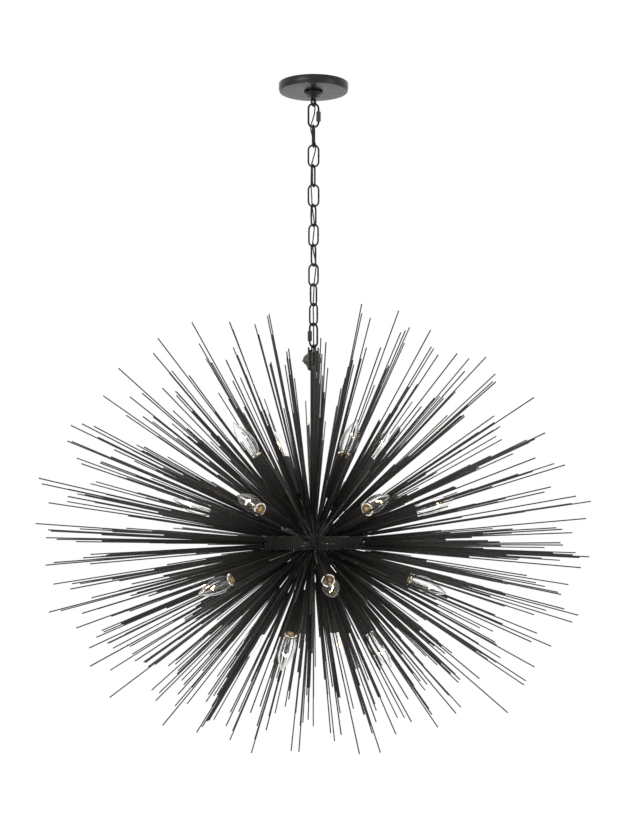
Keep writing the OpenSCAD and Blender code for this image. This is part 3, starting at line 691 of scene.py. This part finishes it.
def lamp_meshes():
    glass = Shape().add(lathe(bezier(GLASS_OUT, 4) + bezier(GLASS_IN, 4), 56)).mesh("lamp_glass", [GLASS], angle=70)
    base = Shape()
    prof = [(0.0, -19.6), (4.3, -19.6), (4.9, -19.2)]
    z = -18.6
    while z < -7.2:
        prof += [(5.15, z - 0.5), (5.55, z - 0.25), (5.85, z + 0.05), (5.9, z + 0.3), (5.85, z + 0.55), (5.5, z + 0.9), (5.15, z + 1.1)]
        z += 1.9
    prof += [(5.3, -6.6), (5.75, -6.2), (5.88, -5.4), (5.85, -4.2), (5.7, -3.9), (0.0, -3.9)]
    base.add(lathe(prof, 40), 0)
    base.add(lathe([(0.0, -19.5), (4.2, -19.5), (3.9, -20.8), (3.2, -21.6), (0.0, -21.7)][::-1], 32), 2)
    base.add(lathe([(0.0, -23.8), (1.2, -23.75), (2.1, -23.3), (2.6, -22.4), (2.7, -21.5), (0.0, -21.5)], 28), 1)
    base.add(blob((5.6, 0, -6.0), [(0.6, 0, 0), (0, 1.0, 0), (0, 0, 0.9)], 5), 1)
    base = base.mesh("lamp_base", [BRASS, SOLDER, PHENOLIC_PAINTED_GLOW], angle=30)
    mount = Shape()
    mount.add(lathe([(0.0, -4.0), (4.6, -4.0), (4.4, -2.4), (3.0, 0.4), (2.2, 4.0), (1.9, 10.0), (1.8, 17.0), (2.3, 19.0),
                     (1.6, 20.6), (0.0, 21.0)], 28), 0)
    mount = mount.mesh("lamp_mount", [STEM_GLASS], angle=50)
    wires = Shape()
    for s in (-1, 1):
        wires.add(sweep(smooth([(0.9 * s, 0, -3), (0.9 * s, 0, 12), (1.0 * s, 0, 18), (2.2 * s, 0, 24), (5.4 * s, 0, 32), (7.0 * s, 0.0, 40.6), (6.3 * s, 0, 42.4)], 4), 0.28, 8))
    wires.add(sweep(smooth([(0, 0.4, 18), (0, 0.6, 24), (0, 0.2, 34), (0.0, 0, 48.2), (0.5, 0.2, 49.4), (0.9, 0, 48.4)], 4), 0.22, 8))
    wires = wires.mesh("lamp_wires", [NICKEL], angle=60)
    coil = []
    ends = [np.array((-6.3, 0, 42.4)), np.array((0.5, 0.0, 48.6)), np.array((6.3, 0, 42.4))]
    for a, b in zip(ends[:-1], ends[1:]):
        d = (b - a) / np.linalg.norm(b - a)
        u = np.array((0, 1.0, 0))
        v = np.cross(d, u)
        n = 150
        for i in range(n):
            t = i / n
            sag = -1.1 * math.sin(math.pi * t)
            coil.append(a + (b - a) * t + np.array((0, 0, sag)) + 0.7 * (math.cos(t * 2 * math.pi * 17) * u + math.sin(t * 2 * math.pi * 17) * v))
    coil.append(ends[-1])
    coil = Shape().add(sweep(coil, 0.26, 6)).mesh("lamp_filament", [FILAMENT], angle=80)
    return glass, base, mount, wires, coil


def holder_meshes():
    top = MOUTH
    sleeve = [(4.2, 118.0), (12.9, 118.0), (14.2, 118.3), (14.65, 118.9), (14.75, 119.8), (14.75, 150), (14.75, 190),
              (14.75, top - 0.8), (14.62, top - 0.35), (14.3, top - 0.02), (13.95, top), (13.7, top - 0.15), (13.56, top - 0.5),
              (13.55, 190), (13.55, 150), (13.55, 121.2), (13.0, 120.2), (4.2, 120.0), (2.6, 120.0), (2.6, 118.0)]
    s = Shape().add(lathe(sleeve, 72), 0)
    s.add(lathe([(2.7, 117.9), (6.6, 117.9), (6.9, 117.5), (6.9, 115.6), (6.6, 115.2), (4.1, 115.2), (4.1, 117.9)], 6), 1)
    sleeve = s.mesh("sleeve_tube", [SLEEVE, IRON], angle=40)
    h = Shape()
    h.add(lathe([(13.38, top - 3.9), (13.38, top - 45.8), (8, top - 45.8), (6.2, top - 45.6), (6.2, top - 26), (6.2, top - 8.2), (8.5, top - 7.3),
                 (11.1, top - 7.2), (11.25, top - 6.6), (11.3, top - 4.0)], 64), 1)
    h.add(lathe([(11.32, top - 4.1), (11.36, top - 3.0), (11.6, top - 2.3), (12.1, top - 1.95), (12.6, top - 1.95),
                 (13.15, top - 2.3), (13.4, top - 3.0), (13.42, top - 4.1)], 72), 0)
    prof = [(6.18, top - 25.8)]
    z = top - 25
    while z < top - 9.5:
        prof += [(6.18, z), (5.98, z + 0.5), (5.98, z + 0.8), (6.18, z + 1.3)]
        z += 1.9
    prof += [(6.18, top - 8.0), (6.6, top - 7.7), (6.75, top - 8.0), (6.45, top - 8.4), (6.4, top - 25.8)]
    h.add(lathe(prof, 48), 2)
    holder = h.mesh("lampholder_body", [IVORY_PAINTED_GLOW, PHENOLIC_PAINTED_GLOW, BRASS], angle=35)
    return sleeve, holder


def make_lights_pieces():
    glass, base, mount, wires, coil = lamp_meshes()
    sleeve, holder = holder_meshes()
    for i, (a, e) in enumerate(LIGHTS):
        hub = radial(a, e)
        lamp = hub @ Matrix.Translation((0, 0, MOUTH * MM)) @ Matrix.Rotation(2 * math.pi * chance(i, 21), 4, "Z")
        n = f"{i + 1:02d}"
        body = "bulb_" + n
        piece("bulb_glass_" + n, glass, body, [body], lamp)
        piece("bulb_base_" + n, base, body, [body], lamp)
        piece("bulb_mount_" + n, mount, body, [body], lamp)
        piece("bulb_wires_" + n, wires, body, [body], lamp)
        piece("bulb_filament_" + n, coil, body, [body], lamp)
        piece("sleeve_" + n, sleeve, "fixture", ["socket_sleeves"], hub)
        piece("lampholder_" + n, holder, "fixture", ["lampholders"], hub)


# ------------------------------------------------------------------ knuckle, hub band

# The lump: height, then how far it reaches to the left, right, front and back of the stem
LUMP = [(-546, 9.6, 11.6, 9.2, 9.4), (-548.5, 13.4, 12.6, 9.6, 11.5), (-553, 19.9, 14.6, 10.6, 14.2), (-558, 21.6, 16.4, 11.4, 16.0),
        (-563.5, 23.6, 18.2, 11.6, 17.2), (-567, 19.8, 14.8, 11.0, 15.2), (-572.5, 14.6, 13.2, 10.2, 12.6), (-578.5, 11.4, 11.6, 9.0, 9.8),
        (-582, 8.4, 8.8, 7.8, 8.0)]
STUBS = [(9.6, -3.4, -585, -536), (-9.8, -1.6, -580, -535), (4.6, 9, -582, -540), (-5, 8.8, -576, -539),
         (-7.2, -11.0, -583, -541), (0.6, -12.4, -573, -545), (6.2, -11.4, -586, -543)]


def bar(length, wide, high, cuts=3):
    """A square-cut bar along +X from the axis, its edges broken and its length in a few stretches."""
    c = 0.35
    sec = [(-wide / 2 + c, -high / 2), (wide / 2 - c, -high / 2), (wide / 2, -high / 2 + c), (wide / 2, high / 2 - c),
           (wide / 2 - c, high / 2), (-wide / 2 + c, high / 2), (-wide / 2, high / 2 - c), (-wide / 2, -high / 2 + c)]
    xs = [0.0] + [length * (i + 1) / (cuts + 1) for i in range(cuts)] + [length - c, length]
    verts = []
    for i, x in enumerate(xs):
        k = 0.86 if i == len(xs) - 1 else 1.0
        verts += [(x, y * k, z * k) for y, z in sec]
    n = len(sec)
    faces = [list(range(n))[::-1], [(len(xs) - 1) * n + j for j in range(n)]]
    faces += [[i * n + j, i * n + (j + 1) % n, (i + 1) * n + (j + 1) % n, (i + 1) * n + j] for i in range(len(xs) - 1) for j in range(n)]
    return np.array(verts), faces


def make_knuckle():
    s, rows, corners = Shape(), [], 11
    for k, (z, left, right, front, back) in enumerate(LUMP):
        for j in range(corners):
            t = 2 * math.pi * (j + 0.5) / corners + 0.12 * (chance(j, 61) - 0.5)
            x, y = math.cos(t), math.sin(t)
            wob = 1 + 0.09 * (chance(j, 62) - 0.6) + 0.05 * (chance(j, k, 63) - 0.5)
            rows.append((x * (right if x > 0 else left) * wob, y * (back if y > 0 else front) * wob, z + 1.2 * (chance(j, k, 64) - 0.5)))
    for z, r in ((-545.4, 8.1), (-550.2, 8.1), (-550.6, 6.7), (-582.6, 6.7)):
        rows += [(r * math.cos(2 * math.pi * (j + 0.5) / corners), r * math.sin(2 * math.pi * (j + 0.5) / corners), z)
                 for j in range(corners)]
    n = len(LUMP) + 4
    order = list(range(len(LUMP)))[::-1] + list(range(len(LUMP), n))
    faces = [[a * corners + j, a * corners + (j + 1) % corners, b * corners + (j + 1) % corners, b * corners + j]
             for a, b in zip(order, order[1:] + order[:1]) for j in range(corners)]
    s.add((np.array(rows), faces))
    for i in range(30):
        k = 1 + i % 7
        z, left, right, front, back = LUMP[k]
        t = 2 * math.pi * chance(i, 31)
        x, y = math.cos(t), math.sin(t)
        size = 1.3 + 1.3 * chance(i, 34)
        s.add(blob((x * 0.9 * (right if x > 0 else left), y * 0.9 * (back if y > 0 else front), z + 3 * (chance(i, 32) - 0.5)),
                   [(size, 0, 0), (0, size, 0), (0, 0, size * 0.8)], 900 + i, 0.2))
    me = s.mesh("knuckle_lump", [KNUCKLE], angle=40)
    obj = piece("knuckle_lump", me, None)
    r = obj.modifiers.new("weld together", "REMESH")
    r.mode, r.voxel_size, r.use_smooth_shade = "VOXEL", 0.00055, True
    tex = bpy.data.textures.new("scale", "CLOUDS")
    tex.noise_scale, tex.noise_depth = 0.004, 3
    d = obj.modifiers.new("scale", "DISPLACE")
    d.texture, d.strength, d.mid_level, d.texture_coords = tex, 0.0009, 0.62, "LOCAL"
    settle(obj)
    obj.data.materials.clear()
    obj.data.materials.append(KNUCKLE)
    trim_bore(obj)
    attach(obj, "fixture")
    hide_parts("knuckle")
    # The stubs take the darker chain finish as painted shade: they are the lump's welded iron, darkened for the shade
    # they stand in.
    bars = Shape()
    for i, (x, y, z0, z1) in enumerate(STUBS):
        v, f = bar(z1 - z0, 3.2, 3.2, 5)
        turn = 0.5 * (chance(i, 65) - 0.5) + math.atan2(y, x)
        c, q = math.cos(turn), math.sin(turn)
        bars.add((np.stack([v[:, 1] * c - v[:, 2] * q, v[:, 1] * q + v[:, 2] * c, v[:, 0]], 1) + [x, y, z0], f))
    piece("knuckle_bars", bars.mesh("knuckle_bars", [CHAIN], angle=40), "fixture", ["knuckle"])


def trim_bore(obj):
    """Keeps the lump off the stem and off the eye above it: a point nearer the axis than those is moved out."""
    co = np.zeros(len(obj.data.vertices) * 3, np.float32)
    obj.data.vertices.foreach_get("co", co)
    co = co.reshape(-1, 3).astype(float)
    r = np.hypot(co[:, 0], co[:, 1])
    least = np.where(co[:, 2] > -0.5502, 0.00755, 0.0063)
    k = np.where(r < least, least / np.maximum(r, 1e-6), 1.0)
    co[:, :2] *= k[:, None]
    obj.data.vertices.foreach_set("co", co.astype(np.float32).ravel())
    obj.data.update()


def settle(obj):
    """Turns an object's modifiers into its mesh."""
    bpy.context.view_layer.update()
    deps = bpy.context.evaluated_depsgraph_get()
    me = bpy.data.meshes.new_from_object(obj.evaluated_get(deps), depsgraph=deps)
    obj.modifiers.clear()
    obj.data = me
    me.shade_smooth()


def make_band_pins():
    s = Shape()
    for i in range(150):
        a = math.radians(2.4 * i)
        r = 99.85 - 0.25 * chance(i, 41)
        lo, hi = -13 + 2.2 * chance(i, 42) ** 2, 13 - 3.4 * chance(i, 43) ** 2
        lean = 0.5 * (chance(i, 44) - 0.5)
        p0 = np.array((r * math.cos(a), r * math.sin(a), lo)) + HUB
        side = np.array((-math.sin(a), math.cos(a), 0.0))
        p1 = np.array((r * math.cos(a), r * math.sin(a), hi)) + HUB + side * lean
        part, mats = rod_part(p0, p1, 1.19, i + 5000)
        s.add(part, mats, tone=0.2 + 0.8 * chance(i, 45))
        if chance(i, 46) > 0.45:
            z = lo + (hi - lo) * chance(i, 47)
            s.add(blob(p0 + (p1 - p0) * chance(i, 47) - side * 0.9, [side * 0.9, (math.cos(a) * 0.8, math.sin(a) * 0.8, 0), (0, 0, 1.6)], i + 7000), 2)
    piece("hub_band_pins_cut", s.mesh("hub_band_pins_cut", [PIN, ROD_END, WELD], angle=50, orient=False), "fixture",
          ["hub_band_pins"])


# ------------------------------------------------------------------ scene

make_camera()
make_lights()
make_floor()
make_rods()
make_band_pins()
make_knuckle()
make_canopy()
make_collar()
for k in range(2, 12):
    make_plain_link(k)
make_quick_link(1, 1)
make_quick_link(12, -1)
make_sleeve_nut(1, 1, "upper_link_nut")
make_sleeve_nut(12, -1, "lower_link_nut")
make_cord()
make_lights_pieces()

KEPT = {"crossbar": ZINC, "threaded_nipple": ZINC, "nipple_locknut": ZINC, "canopy_loop": CANOPY, "fixture_loop": CHAIN,
        "stem": STEM, "hub_upper_shell": IRON, "hub_lower_shell": IRON, "hub_band": IRON, "tie_rod": ZINC,
        "bottom_nut": IRON, "wire_connectors": WIRE_CAP, "socket_leads": LEAD, "socket_arms": IRON}
for name, obj in nodes.items():
    if obj.hide_render:
        continue
    for s in obj.material_slots:
        s.material = KEPT[name]

scene.view_settings.view_transform = "Standard"
scene.view_settings.look = "None"
